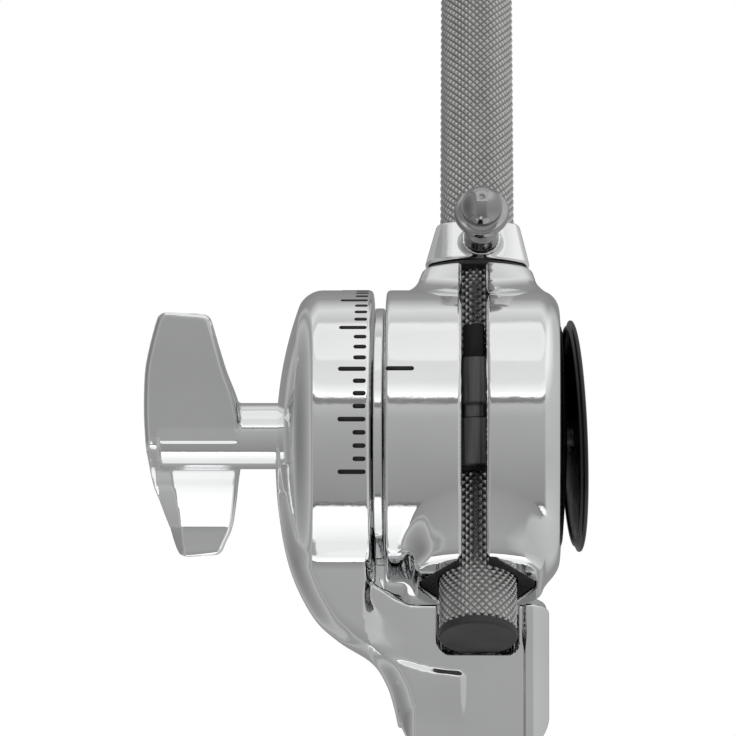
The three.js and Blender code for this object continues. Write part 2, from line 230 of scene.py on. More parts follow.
def smooth_line(points, steps=8):
    """A curve through the points: each stretch is the cubic whose slopes are half the neighbours' chord."""
    points = np.array(points, float)
    padded = np.vstack([2 * points[0] - points[1], points, 2 * points[-1] - points[-2]])
    t = np.linspace(0, 1, steps, endpoint=False)[:, None]
    rows = []
    for a, b, c, d in zip(padded, padded[1:], padded[2:], padded[3:]):
        rows.append(0.5 * (2 * b + (c - a) * t + (2 * a - 5 * b + 4 * c - d) * t ** 2
                           + (3 * b - a - 3 * c + d) * t ** 3))
    return np.vstack(rows + [points[-1:]])


def lean(points):
    """Turns points from the rod's own axes (z along the rod, -y to the front) into the part's axes."""
    x, y, z = points.T
    c, s = math.cos(LEAN), math.sin(LEAN)
    return np.column_stack([x, y * c + z * s, z * c - y * s])


def cast_surface(distance, low, high, cell):
    """Closed surface where the distance is zero: one point in each cell that the surface crosses, at the mean
    of the crossings on the cell's edges, slid along the slope onto the surface; four cells round each crossed
    edge make a face. Returns points, faces and unit normals."""
    axes = [np.arange(l - cell, h + 2 * cell, cell) for l, h in zip(low, high)]
    size = [len(a) for a in axes]
    value = np.broadcast_to(distance(*np.ix_(*axes)), size).astype(np.float32)
    inside = value < 0
    steps = np.array([[i, j, k] for i in (0, 1) for j in (0, 1) for k in (0, 1)])

    def corner(field, step):
        return field[tuple(slice(s, n - 1 + s) for s, n in zip(step, size))]

    count = sum(corner(inside, s).astype(np.int8) for s in steps)
    where = np.argwhere((count > 0) & (count < 8))
    ids = np.full([n - 1 for n in size], -1, np.int64)
    ids[tuple(where.T)] = np.arange(len(where))
    total, hits = np.zeros((len(where), 3)), np.zeros((len(where), 1))
    for start in steps:
        for axis in range(3):
            if start[axis]:
                continue
            end = start + np.eye(3, dtype=int)[axis]
            a, b = value[tuple((where + start).T)], value[tuple((where + end).T)]
            crossed = (a < 0) != (b < 0)
            share = np.where(crossed, a / np.where(crossed, a - b, 1), 0)[:, None]
            total += np.where(crossed[:, None], start + share * np.eye(3)[axis], 0)
            hits += crossed[:, None]
    points = (where + total / hits) * cell + [a[0] for a in axes]

    def slope(p, reach=0.02):
        rows = []
        for axis in np.eye(3) * reach:
            rows.append(distance(*(p + axis).T) - distance(*(p - axis).T))
        g = np.column_stack(rows) / (2 * reach)
        return g, np.maximum((g ** 2).sum(1, keepdims=True), 0.05)

    for _ in range(3):
        g, square = slope(points)
        points = points - np.clip(distance(*points.T)[:, None] * g / square, -cell / 2, cell / 2)
    faces = []
    for axis in range(3):
        near = [slice(1, n - 1) for n in size]
        near[axis] = slice(0, size[axis] - 1)
        far = list(near)
        far[axis] = slice(1, size[axis])
        first, second = inside[tuple(near)], inside[tuple(far)]
        spot = np.argwhere(first != second)
        spot += [s.start for s in near]
        p, q = np.eye(3, dtype=int)[(axis + 1) % 3], np.eye(3, dtype=int)[(axis + 2) % 3]
        ring = [ids[tuple((spot - o).T)] for o in (p + q, q, 0 * p, p)]
        quad = np.column_stack(ring)
        flipped = ~inside[tuple(spot.T)]
        quad[flipped] = quad[flipped][:, ::-1]
        faces.append(quad)
    g, square = slope(points)
    return points, np.vstack(faces), g / np.sqrt(square)


def add_piece(name, points, faces, material, body, replaced=(), normals=None, smooth=True):
    """Makes an object in metres from millimetre points, gives it its material and rides it on its body."""
    faces = faces.tolist() if isinstance(faces, np.ndarray) else faces
    mesh = bpy.data.meshes.new(name)
    mesh.from_pydata((points * MM).tolist(), [], faces)
    mesh.polygons.foreach_set("use_smooth", np.full(len(mesh.polygons), smooth))
    mesh.materials.append(material)
    mesh.update()
    if normals is not None:
        mesh.normals_split_custom_set_from_vertices(normals.tolist())
    piece = bpy.data.objects.new(name, mesh)
    bpy.context.scene.collection.objects.link(piece)
    if replaced:
        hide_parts(*replaced)
    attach(piece, body)
    return piece


def plated(name, colour, roughness, ripple, grain):
    """Bright plate: a broad faint casting ripple and a fine orange peel in the bump, and a roughness that
    wanders between polished and finger-marked, with hair scratches."""
    material = bpy.data.materials.new(name)
    material.use_nodes = True
    tree = material.node_tree
    shader = tree.nodes["Principled BSDF"]
    shader.inputs["Metallic"].default_value = 1.0
    where = tree.nodes.new("ShaderNodeTexCoord").outputs["Object"]
    tone = node(tree, "ShaderNodeTexNoise", Scale=90.0, Detail=3.0)
    smudge = node(tree, "ShaderNodeTexNoise", Scale=220.0, Detail=5.0, Roughness=0.6)
    peel = node(tree, "ShaderNodeTexNoise", Scale=1300.0, Detail=2.0)
    wave = node(tree, "ShaderNodeTexNoise", Scale=110.0, Detail=1.0)
    stretch = node(tree, "ShaderNodeMapping")
    stretch.inputs["Scale"].default_value = (300.0, 3000.0, 3000.0)
    scratch = node(tree, "ShaderNodeTexNoise", Scale=1.0, Detail=2.0)
    for pattern in (tone, smudge, peel, wave, stretch):
        link(tree, (where, pattern.inputs["Vector"]))
    link(tree, (stretch.outputs[0], scratch.inputs["Vector"]))
    shade = ramp(tree, [(0.3, [c * 0.95 for c in colour]), (0.7, colour)])
    link(tree, (tone.outputs[0], shade.inputs[0]), (shade.outputs[0], shader.inputs["Base Color"]))
    dull = ramp(tree, [(0.35, roughness), (0.62, roughness * 1.6), (0.8, roughness * 2.6)])
    hair = ramp(tree, [(0.66, 0.0), (0.74, 0.06)])
    link(tree, (smudge.outputs[0], dull.inputs[0]), (scratch.outputs[0], hair.inputs[0]))
    link(tree, (maths(tree, "ADD", dull.outputs[0], hair.outputs[0]), shader.inputs["Roughness"]))
    broad = node(tree, "ShaderNodeBump", Strength=ripple, Distance=0.001)
    fine = node(tree, "ShaderNodeBump", Strength=grain, Distance=0.0002)
    link(tree, (wave.outputs[0], broad.inputs["Height"]), (peel.outputs[0], fine.inputs["Height"]),
         (broad.outputs[0], fine.inputs["Normal"]), (fine.outputs[0], shader.inputs["Normal"]))
    return material


cast_chrome = plated("cast_chrome", (0.88, 0.885, 0.89), 0.05, 0.075, 0.03)

DRUM_R = 24.2
DOME_TIP, DOME_SPHERE = -33.3, 63.0
DIAL_FACE = -17.2
ARM_FACE = DIAL_FACE - 0.6
SADDLE_R = 29.3
ARM_OUTLINE = np.vstack([
    smooth_line([(-32.9, 47.5), (-32.6, 37.7), (-30.7, 27.7), (-27, 20.0), (-22.8, 15.9), (-17.4, 12.4),
                 (-15.0, 8.9), (-13.8, 5.4), (-13, 1.8)]),
    [(-4, 1.8), (-4, 24), (-14, 28), (-14, 47.5)]])
# The shield and arm stand proud of the front panel inside this outline
RAISED_OUTLINE = np.vstack([
    smooth_line([(-18.2, 40), (-18.2, 30), (-18.4, 22.0), (-17.9, 17.5), (-16.2, 14.6), (-13.4, 12.7),
                 (-8.3, 11.2), (-3.0, 10.5)]),
    [(-2.8, 10.2), (-2.8, -6.0), (-60, -6), (-60, 40)]])
PANEL_DEPTH, RAISED = 11.95, 0.5
COLUMN_X, COLUMN_HALF, COLUMN_TOP, COLUMN_CORNER = -0.6, 12.2, 27.0, 3.4
FOOT_CHAMFER, FOOT_SLOPE = 1.4, 0.58
NOTCH_HALF, NOTCH_SWEEP = 6.55, 37.35
HIDEAWAY_R, HIDEAWAY_FROM = 7.0, 5.0
SOCKET_R, SOCKET_DEPTH = 9.525, 9.5
PIN_X, PIN_Z, PIN_HOLE_R = 4.0, 4.5, 1.35
HUB_BORE_R = 6.2
RING_ROOM_R, SADDLE_LEFT = 27.1, -11.8
LUG_INNER, LUG_OUTER, LUG_LEFT, LUG_RIGHT, LUG_TOP = 21.7, 27.5, -18.5, -15.5, 34.0


def ease(value):
    """Smooth step from 0 to 1 with level ends."""
    t = np.clip(value, 0, 1)
    return t * t * (3 - 2 * t)


def bracket_distance(x, y, z):
    """Distance to the bracket: drum with a domed end, joined to an arm and a column, less the round saddle
    that clears the clamp, the rod's notch and bore, and the tube socket. The front panel lies back from the
    arm and the shield below it; its wall is a scoop, wide beside the arm and narrow along the ledge."""
    up = z - PIVOT[2]
    radial = np.hypot(y, up)
    dome = np.sqrt(radial ** 2 + (x - DOME_TIP - DOME_SPHERE) ** 2) - DOME_SPHERE
    dial = round_common(round_common(radial - DRUM_R, dome, 2.6), x - DIAL_FACE, 0.7)
    widening = ease((z - 12.5) / 4.5) * ease((23.5 - z) / 6.0)
    scoop = 1.3 + 3.6 * widening
    share = np.clip(1 - (outline_distance(x, z, RAISED_OUTLINE) + 0.2) / scoop, 0, 1)
    wall = ease(share) + (share ** 2 - ease(share)) * widening
    fade = np.where(x > -13, 0.25 + 0.75 * ease((z - 2.5) / 8.0), 1.0)
    arm_swell = 1.1 + 1.7 * ease((z - 11.5) / 4.5)
    proud = RAISED * np.maximum(wall * fade * arm_swell, ease((x - 7.3) / 0.6))
    deep = np.abs(y) - np.where(y < 0, proud, RAISED)
    arm = round_common(outline_distance(x, z, ARM_OUTLINE), deep - PANEL_DEPTH, 4.5)
    aside = np.abs(x - COLUMN_X) - COLUMN_HALF
    qx, qy = aside + COLUMN_CORNER, deep - PANEL_DEPTH + COLUMN_CORNER
    square = np.hypot(np.maximum(qx, 0), np.maximum(qy, 0)) + np.minimum(np.maximum(qx, qy), 0)
    square = square - COLUMN_CORNER
    foot = (aside + FOOT_CHAMFER - z * FOOT_SLOPE) / np.hypot(1, FOOT_SLOPE)
    column = round_common(round_common(square, -z, 0.5), np.maximum(foot, z - COLUMN_TOP), 0.6)
    leg = np.minimum(arm, column)
    beside_drum = round_common(radial - RING_ROOM_R, ARM_FACE - x, 3.0)
    middle = round_common(radial - SADDLE_R, SADDLE_LEFT - x, 0.8)
    web = 3.5 + 1.1 * np.clip(y + 12.5, 0, 8) - (x - ARM_FACE + SADDLE_R - radial)
    front_way = round_common(round_common(radial - SADDLE_R, ARM_FACE - x, 5.0), web * 0.6, 2.0)
    saddle = round_join(round_join(beside_drum, middle, 1.0), front_way, 1.0)
    # A lug at the back, low down beside the brake ring, closes the gap between dial and clamp
    lug = np.maximum(slab(radial, LUG_INNER, LUG_OUTER), slab(x, LUG_LEFT, LUG_RIGHT))
    lug = np.maximum(lug, np.maximum(3 - y, z - LUG_TOP))
    leg = round_common(leg, -saddle, 1.1)
    body = np.minimum(round_join(leg, dial, 1.3), lug)
    notch = np.maximum(round_common(np.abs(x) - NOTCH_HALF, radial - NOTCH_SWEEP, 2.0), y)
    across = np.hypot(x, y)
    bore = np.minimum(np.maximum(across - HIDEAWAY_R, HIDEAWAY_FROM - z), notch)
    body = round_common(body, -bore, 0.2)
    socket = np.maximum(across - SOCKET_R, z - SOCKET_DEPTH)
    body = round_common(body, -socket, 0.4)
    pins = np.maximum(np.hypot(np.abs(x) - PIN_X, z - PIN_Z) - PIN_HOLE_R, 7 - y)
    body = np.maximum(body, -pins)
    return round_common(body, HUB_BORE_R - radial, 0.4)


bracket_low, bracket_high = (np.array(c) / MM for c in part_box("bracket_casting"))
points, faces, normals = cast_surface(bracket_distance, bracket_low, bracket_high, 0.4)
add_piece("bracket_casting_fine", points, faces, cast_chrome, "bracket", ["bracket_casting"],
          normals)


# ---------------------------------------------------------------------------------------------
# Dial marks: strokes cut into the drum every five degrees, long every twenty, filled with black
# paint. The clamp half carries one stroke of the same kind as its pointer.
def painted(name, grey, roughness, bump):
    """Dark paint or moulded plastic: a fine grain in bump and roughness, and a slightly uneven tone."""
    material = bpy.data.materials.new(name)
    material.use_nodes = True
    tree = material.node_tree
    shader = tree.nodes["Principled BSDF"]
    where = tree.nodes.new("ShaderNodeTexCoord").outputs["Object"]
    grain = node(tree, "ShaderNodeTexNoise", Scale=2600.0, Detail=4.0, Roughness=0.7)
    cloud = node(tree, "ShaderNodeTexNoise", Scale=260.0, Detail=4.0)
    link(tree, (where, grain.inputs["Vector"]), (where, cloud.inputs["Vector"]))
    tone = ramp(tree, [(0.35, grey * 0.75), (0.7, grey * 1.5)])
    matt = ramp(tree, [(0.3, roughness * 0.85), (0.7, min(1.0, roughness * 1.25))])
    link(tree, (cloud.outputs[0], tone.inputs[0]), (tone.outputs[0], shader.inputs["Base Color"]),
         (cloud.outputs[0], matt.inputs[0]), (matt.outputs[0], shader.inputs["Roughness"]))
    relief = node(tree, "ShaderNodeBump", Strength=bump, Distance=0.0003)
    link(tree, (grain.outputs[0], relief.inputs["Height"]), (relief.outputs[0], shader.inputs["Normal"]))
    return material


mark_paint = painted("mark_paint", 0.006, 0.6, 0.2)
MARK_HALF, MARK_DEPTH, MARK_PROUD = 0.38, 0.3, 0.03


def strokes(rows):
    """Closed round-ended strokes lying on a drum: rows of (elevation in degrees, left x, right x). Each is a
    stadium outline, wrapped round the drum, once at its floor and once just proud of the surface."""
    turn = np.linspace(-np.pi / 2, np.pi / 2, 7)
    ends = np.concatenate([np.column_stack([np.cos(turn), np.sin(turn)]) * MARK_HALF,
                           np.column_stack([-np.cos(turn), -np.sin(turn)]) * MARK_HALF])
    right = np.repeat([1, 0], len(turn))
    count = len(ends)
    all_points, all_faces = [], []
    for elevation, x0, x1 in rows:
        x = ends[:, 0] + np.where(right, x1 - MARK_HALF, x0 + MARK_HALF)
        angle = math.radians(elevation) + ends[:, 1] / DRUM_R
        for r in (DRUM_R - MARK_DEPTH, DRUM_R + MARK_PROUD):
            all_points.append(np.column_stack([x, -r * np.cos(angle), r * np.sin(angle)]))
        base = len(all_faces) // (count + 2) * 2 * count
        low, high = list(range(base, base + count)), list(range(base + count, base + 2 * count))
        all_faces += [low[::-1], high]
        all_faces += list(zip(low, low[1:] + low[:1], high[1:] + high[:1], high))
    return np.vstack(all_points), all_faces


FIRST_MARK, MARK_STEP, MARK_COUNT = -13.8, 5, 29
LONG_FROM, SHORT_FROM, MARK_TO = -22.4, -20.0, -17.9
marks = [(FIRST_MARK + MARK_STEP * i, SHORT_FROM if i % 4 else LONG_FROM, MARK_TO) for i in range(MARK_COUNT)]
points, faces = strokes(marks)
add_piece("dial_marks", points + PIVOT, faces, mark_paint, "bracket")
POINTER_ELEVATION = 26.4
points, faces = strokes([(POINTER_ELEVATION, -14.75, -10.2)])
add_piece("pointer_mark", points + PIVOT, faces, mark_paint, "clamp")


# ---------------------------------------------------------------------------------------------
# Clamp halves: two die-cast halves of a drum with a neck above and a boss below, chrome plated.
# The slot between them has small bright chamfers; inside, the halves are hollow for the eye.
SLOT_LEFT, SLOT_RIGHT, SLOT_CHAMFER = -2.56, 1.26, 0.55
CLAMP_LEFT, CLAMP_RIGHT = -15.0, 13.5
NECK_TOP, BOSS_END = 28.0, -27.0
LINING_POCKET = np.array([(0, 9.5), (2.7, 9.3), (9.3, 0.5), (9.3, -1.4), (6.6, -6.0), (0, -8.2)])
POCKET_TOP = 24.9
EYE_ROOM_R, EYE_ROOM_HALF = 10.2, 11.3
ROD_WAY_R, SHANK_WAY_R = 7.0, 4.3
SCREW_BACK, SCREW_UP, SCREW_WAY_R, HEAD_WAY_R = 13.5, 6.0, 2.2, 3.2
DISC_SCREW_WAY_R = 2.0


def crowned(x, y, half_width, half_depth, corner=1.8, crown=0.024):
    """Distance to a rounded rectangle in the plane whose front and back bulge out between the corners."""
    qx = np.abs(x) - half_width + corner
    qy = np.abs(y) + crown * x ** 2 - half_depth + corner
    return np.hypot(np.maximum(qx, 0), np.maximum(qy, 0)) + np.minimum(np.maximum(qx, qy), 0) - corner


def clamp_distance(x, y, z):
    """Distance to both clamp halves before the slot parts them, hollowed for eye, rod, linings and screws."""
    radial = np.hypot(y, z)
    drum = round_common(radial - DRUM_R, CLAMP_LEFT - x, 0.7)
    drum = round_common(drum, x - CLAMP_RIGHT, 3.6)
    neck_share = np.clip((z - 12) / (NECK_TOP - 12), 0, 1.05)
    neck_width, neck_depth = 12.2 - 3.0 * neck_share ** 1.3, 15.0 - 5.2 * neck_share ** 1.6
    neck = crowned(x + 0.3 - 0.3 * neck_share, y, neck_width, neck_depth)
    neck = round_common(neck * 0.93, np.maximum(z - NECK_TOP, 5 - z), 0.8)
    boss_share = np.clip((-z - 12) / (-BOSS_END - 12), 0, 1.05)
    boss = crowned(x, y, 11.4 - 0.9 * boss_share, 14.2 - 4.0 * boss_share ** 3, 3.2)
    boss = round_common(boss * 0.93, np.maximum(BOSS_END - z, z + 5), 1.3)
    body = round_join(round_join(drum, neck, 2.2), boss, 2.6)
    eye = np.maximum(np.hypot(x, y) - EYE_ROOM_R, np.abs(z) - EYE_ROOM_HALF)
    rod_way = np.maximum(np.hypot(x, y) - ROD_WAY_R, -z)
    pocket = np.maximum(outline_distance(np.abs(x), -y, LINING_POCKET) - 0.15, z - POCKET_TOP)
    shank = np.maximum(radial - SHANK_WAY_R, x)
    holes = np.minimum(np.minimum(np.minimum(eye, rod_way), pocket), shank)
    screws = np.hypot(y - SCREW_BACK, np.abs(z) - SCREW_UP)
    screws = np.minimum(screws - SCREW_WAY_R, np.maximum(screws - HEAD_WAY_R, 10.9 - x))
    disc_screw = np.maximum(radial - DISC_SCREW_WAY_R, 10.5 - x)
    return round_common(body, -np.minimum(np.minimum(holes, screws), disc_screw), 0.35)


for name, side in (("clamp_inner_half", -1), ("clamp_outer_half", 1)):
    face = SLOT_RIGHT if side > 0 else SLOT_LEFT

    def half_distance(x, y, z, side=side, face=face):
        """The clamp on one side of the slot, with a chamfered slot edge."""
        whole, cut = clamp_distance(x, y, z), side * (face - x)
        chamfer = (whole + cut + SLOT_CHAMFER) * 0.7071
        return round_common(np.maximum(whole, cut), chamfer, 0.12)

    low = [CLAMP_LEFT, -25, -27] if side < 0 else [SLOT_RIGHT, -25, -27]
    high = [SLOT_LEFT, 25, 29] if side < 0 else [CLAMP_RIGHT, 25, 29]
    points, faces, normals = cast_surface(half_distance, low, high, 0.36)
    add_piece(name + "_fine", lean(points) + PIVOT, faces, cast_chrome, "clamp", [name],
              lean(normals))


# ---------------------------------------------------------------------------------------------
# Turned pieces on the tilt axis: the bright brake ring between dial and clamp, and the black
# domed plate and thin disc on the clamp's end, which sits a little skew on its screw.
def rounded(outline, radius, steps=5):
    """Outline with each corner eased by a curve: a quadratic arc between points set back from the corner, and
    no further than 45% of the shorter edge."""
    outline = np.array(outline, float)
    if np.allclose(outline[0], outline[-1]):
        outline = outline[:-1]
    before, after = np.roll(outline, 1, 0), np.roll(outline, -1, 0)
    rows = []
    for corner, a, b in zip(outline, before, after):
        to_a, to_b = a - corner, b - corner
        la, lb = np.hypot(*to_a), np.hypot(*to_b)
        if corner[0] < 1e-6:
            rows.append(corner[None])
            continue
        back = min(radius, 0.45 * la, 0.45 * lb)
        p, q = corner + to_a / la * back, corner + to_b / lb * back
        t = np.linspace(0, 1, steps)[:, None]
        rows.append((1 - t) ** 2 * p + 2 * t * (1 - t) * corner + t ** 2 * q)
    return np.vstack(rows)


def turned(outline, axis, count=128):
    """Surface swept by an outline of (radius, distance along the axis) about the x, y or z axis. Points on
    the axis become one pole; an outline off the axis closes on itself."""
    outline = np.asarray(outline, float)
    poles = outline[:, 0] < 1e-6
    closed = not poles.any()
    angle = np.arange(count) * 2 * np.pi / count
    points, starts = [], []
    for (radius, along), pole in zip(outline, poles):
        starts.append(sum(len(p) for p in points))
        ring = np.zeros((1, 3)) if pole else np.column_stack(
            [radius * np.cos(angle), radius * np.sin(angle), 0 * angle])
        points.append(ring + [0, 0, along])
    points = np.vstack(points)
    order = {"x": [2, 0, 1], "y": [1, 2, 0], "z": [0, 1, 2]}[axis]
    faces = []
    rows = len(outline)
    for i in range(rows if closed else rows - 1):
        j = (i + 1) % rows
        k = np.arange(count)
        n = (k + 1) % count
        if poles[i]:
            faces += np.column_stack([np.full(count, starts[i]), starts[j] + n, starts[j] + k]).tolist()
        elif poles[j]:
            faces += np.column_stack([starts[i] + k, starts[i] + n, np.full(count, starts[j])]).tolist()
        else:
            faces += np.column_stack([starts[i] + k, starts[i] + n, starts[j] + n, starts[j] + k]).tolist()
    area = sum(a[0] * b[1] - b[0] * a[1] for a, b in zip(outline, np.roll(outline, -1, 0)))
    if area < 0:
        faces = [f[::-1] for f in faces]
    return points[:, order], faces


def keep_flats(piece):
    """Lets the broad flat faces set the shading, so that only the eased edges look round."""
    piece.modifiers.new("flats", "WEIGHTED_NORMAL")
    return piece


turned_chrome = plated("turned_chrome", (0.86, 0.865, 0.87), 0.05, 0.012, 0.02)
points, faces = turned(rounded([(12.5, -16.9), (21.2, -16.9), (21.2, -15.3), (12.5, -15.3)], 0.35), "x")
keep_flats(add_piece("brake_ring_fine", points + PIVOT, faces, turned_chrome, "bracket",
                     ["brake_ring"]))

black_cap = painted("black_cap", 0.008, 0.3, 0.05)
DOME_OUTLINE = [(2.2, 13.8), (18.2, 13.8), (17.6, 13.95), (15, 14.15), (8, 14.6), (2.2, 14.8)]
points, faces = turned(rounded(DOME_OUTLINE, 0.2), "x")
keep_flats(add_piece("face_dome_fine", lean(points) + PIVOT, faces, black_cap, "clamp",
                     ["face_dome"]))

DISC_R, DISC_X = 19.2, 15.95
DISC_FACING = np.array([1, 0.037, 0.062]) / np.linalg.norm([1, 0.037, 0.062])
DISC_OUTLINE = [(2.4, -0.3), (17.3, -0.3), (17.6, -0.8), (18.2, -0.8), (18.5, -0.3), (DISC_R, -0.1),
                (DISC_R, 0.3), (18.6, 0.55), (2.4, 0.55)]
points, faces = turned(rounded(DISC_OUTLINE, 0.25), "x")
turn = np.array(Vector((1, 0, 0)).rotation_difference(Vector(DISC_FACING)).to_matrix())
points = points @ turn.T + [DISC_X, 0, 0]
keep_flats(add_piece("end_disc_fine", lean(points) + PIVOT, faces, black_cap, "clamp",
                     ["end_disc"]))


# ---------------------------------------------------------------------------------------------
# Eyebolt: dark steel; its eye surrounds the rod in the slot, with drawn streaks along the rod
# and a shallow groove round its middle.
def oiled_steel(name, light, dark, roughness):
    """Dark steel with fine streaks along the rod, both in tone and in bump."""
    material = bpy.data.materials.new(name)
    material.use_nodes = True
    tree = material.node_tree
    shader = tree.nodes["Principled BSDF"]
    shader.inputs["Metallic"].default_value = 0.9
    where = tree.nodes.new("ShaderNodeTexCoord").outputs["Object"]
    turn_back = node(tree, "ShaderNodeMapping")
    turn_back.inputs["Rotation"].default_value = (LEAN, 0.0, 0.0)
    drawn = node(tree, "ShaderNodeMapping")
    drawn.inputs["Scale"].default_value = (900.0, 900.0, 25.0)
    streak = node(tree, "ShaderNodeTexNoise", Scale=1.0, Detail=3.0)
    link(tree, (where, turn_back.inputs["Vector"]), (turn_back.outputs[0], drawn.inputs["Vector"]),
         (drawn.outputs[0], streak.inputs["Vector"]))
    tone = ramp(tree, [(0.38, dark), (0.62, light)])
    rough = ramp(tree, [(0.3, roughness * 0.8), (0.7, roughness * 1.4)])
    relief = node(tree, "ShaderNodeBump", Strength=0.25, Distance=0.0002)
    link(tree, (streak.outputs[0], tone.inputs[0]), (tone.outputs[0], shader.inputs["Base Color"]),
         (streak.outputs[0], rough.inputs[0]), (rough.outputs[0], shader.inputs["Roughness"]),
         (streak.outputs[0], relief.inputs["Height"]), (relief.outputs[0], shader.inputs["Normal"]))
    return material


dark_steel = oiled_steel("dark_steel", 0.16, 0.03, 0.35)
EYE_OUTLINE = [(6.7, -10), (9.6, -10), (9.6, -1.4), (9.1, -1.1), (9.1, 1.1), (9.6, 1.4), (9.6, 10),
               (6.7, 10)]
points, faces = turned(rounded(EYE_OUTLINE, 0.3), "z", 96)
keep_flats(add_piece("eyebolt_eye", lean(points) + PIVOT, faces, dark_steel, "clamp",
                     ["eyebolt"]))
SHANK_END, SHANK_ROOT, SHANK_R, THREAD_PITCH = -49.5, -8.0, 3.9, 1.25
quarter_turns = np.arange(-47.0, -20.0, THREAD_PITCH / 4)
shank = [(0, SHANK_END), (3.2, SHANK_END), (3.5, -49.0), (3.5, -47.3)]
shank += [(SHANK_R - (0.0, 0.25, 0.5, 0.25)[i % 4], x) for i, x in enumerate(quarter_turns)]
shank += [(SHANK_R, -19.5), (SHANK_R, SHANK_ROOT), (0, SHANK_ROOT)]
points, faces = turned(shank, "x", 64)
add_piece("eyebolt_shank", lean(points) + PIVOT, faces, dark_steel, "clamp", ["eyebolt"])


# ---------------------------------------------------------------------------------------------
# Wing nut: a chromed casting. A round hub goes through the dome; its two lobes sweep off
# opposite sides of the hub, so one shows a plain face and the other a cove.
lobe_right = smooth_line([(-39.2, 3.0), (-39.9, 6.6), (-41.3, 10.6), (-42.4, 14.6), (-43.4, 18.2)])
lobe_tip = smooth_line([(-43.8, 19.3), (-44.9, 20.0), (-48, 20.3), (-51.2, 20.5), (-52.4, 19.6)])
lobe_left = smooth_line([(-52.9, 18.2), (-53.9, 14.6), (-54.7, 10.6), (-55, 5.0), (-54.9, 0), (-54.4, -7.3),
                         (-53.2, -11.3), (-51.9, -15.3), (-50.7, -18.8)])
low_tip = smooth_line([(-50.1, -20.0), (-48.8, -20.55), (-46.0, -20.3), (-43.8, -20.0), (-42.9, -19.2)])
lobe_back = smooth_line([(-42.4, -18.0), (-41.2, -15.3), (-40.5, -11.3), (-40.0, -7.3), (-39.3, -3.0)])
WING_OUTLINE = np.vstack([lobe_right, lobe_tip, lobe_left, low_tip, lobe_back])
lobe_front = smooth_line([
    (-5.45, 0.0), (-5.2, -1.4), (-4.3, -2.7), (-3.3, -3.8), (-2.0, -4.7), (-0.8, -5.5), (0.75, -7.2),
    (2.35, -9.0), (4.4, -12.0), (6.1, -14.8), (6.5, -15.6), (6.75, -17.5), (7.0, -20.6)])
half_section = np.vstack([lobe_front, [(9.9, -20.6)]])
WING_SECTION = np.vstack([half_section, -half_section])


def wing_distance(x, y, z):
    """Distance to the wing nut: the wings' front outline crossed with their swept section, joined to the hub,
    less the threaded hole. The lower lobe's front falls away in a broad flank on its outer side."""
    outline, section = outline_distance(x, z, WING_OUTLINE), outline_distance(y, z, WING_SECTION)
    wings = round_common(outline, section, 1.15)
    front = np.interp(-z, -lobe_front[:, 1], lobe_front[:, 0])
    flank_start = -50.9 - (z + 3.0) * 0.11
    fall = 0.6 * ease((-z - 1.5) / 2.5) * np.clip(flank_start - x, 0, 3.2)
    flank = np.where(z < -1.0, (front + fall - y) * 0.75, -10.0)
    wings = round_common(wings, flank, 0.25)
    radial = np.hypot(y, z)
    hub = round_common(radial - 5.5, slab(x, -52.6, -28.6), 0.5)
    whole = round_join(wings, hub, 0.5)
    return round_common(whole, -np.maximum(radial - 4.2, -50 - x), 0.3)


points, faces, normals = cast_surface(wing_distance, [-55.5, -10, -21], [-28, 10, 21], 0.36)
add_piece("wing_nut_fine", points + PIVOT, faces, cast_chrome, "wing", ["wing_nut"], normals)


# ---------------------------------------------------------------------------------------------
# Boom rod: steel tube rolled with a diamond knurl over its whole length, dull plated, with a
# black plug in each end.
ROD_R, ROD_BORE = 6.35, 4.85
ROD_LOW, ROD_HIGH = -35.2, 163.0
KNURL_ROUND, KNURL_DEPTH = 30, 0.32
KNURL_PITCH = 2 * math.pi * ROD_R / KNURL_ROUND
AROUND = KNURL_ROUND * 4


def knurled_tube():
    """Grid round and along the tube, four steps to a diamond. With p and q the distances counted in pitches
    along the two diagonals, the depth falls to zero at each crest of the lower of two triangle waves."""
    rows = int(round((ROD_HIGH - ROD_LOW) / KNURL_PITCH)) * 4
    i, j = np.meshgrid(np.arange(rows + 1), np.arange(AROUND), indexing="ij")
    p, q = (i + j) / 4.0, (i - j) / 4.0
    crest = np.minimum(1 - np.abs(2 * (p % 1) - 1), 1 - np.abs(2 * (q % 1) - 1))
    uneven = 1 + 0.12 * np.sin(j * 0.35) + 0.1 * np.sin(i * 0.013 + j * 0.11)
    radius = ROD_R - KNURL_DEPTH * (1 - crest) * uneven
    radius[0] -= 0.35
    radius[-1] -= 0.35
    angle = j * 2 * np.pi / AROUND
    z = ROD_LOW + (ROD_HIGH - ROD_LOW) * i / rows
    outer = np.stack([radius * np.cos(angle), radius * np.sin(angle), z], -1)
    inner = []
    for height in (ROD_HIGH, ROD_LOW):
        inner.append(np.stack([ROD_BORE * np.cos(angle[0]), ROD_BORE * np.sin(angle[0]),
                               np.full(AROUND, height)], -1))
    points = np.concatenate([outer, np.array(inner)])
    a = np.arange(len(points))[:, None] * AROUND + np.arange(AROUND)
    b = np.roll(a, -1, 1)
    c, d = np.roll(b, -1, 0), np.roll(a, -1, 0)
    # Groove depth per point: it roughens the grooves and darkens their colour as painted shade.
    groove = np.concatenate([1 - crest, np.ones((2, AROUND))]).ravel()
    return points.reshape(-1, 3), np.stack([a, b, c, d], -1).reshape(-1, 4), groove


points, quads, groove = knurled_tube()
# Each square is split along the groove or ridge that crosses it, so the diagonal alternates
even = (quads[:, 0] // AROUND + quads[:, 0] % AROUND) % 2 == 0
triangles = np.vstack([quads[even][:, [0, 1, 2]], quads[even][:, [0, 2, 3]],
                       quads[~even][:, [0, 1, 3]], quads[~even][:, [1, 2, 3]]])


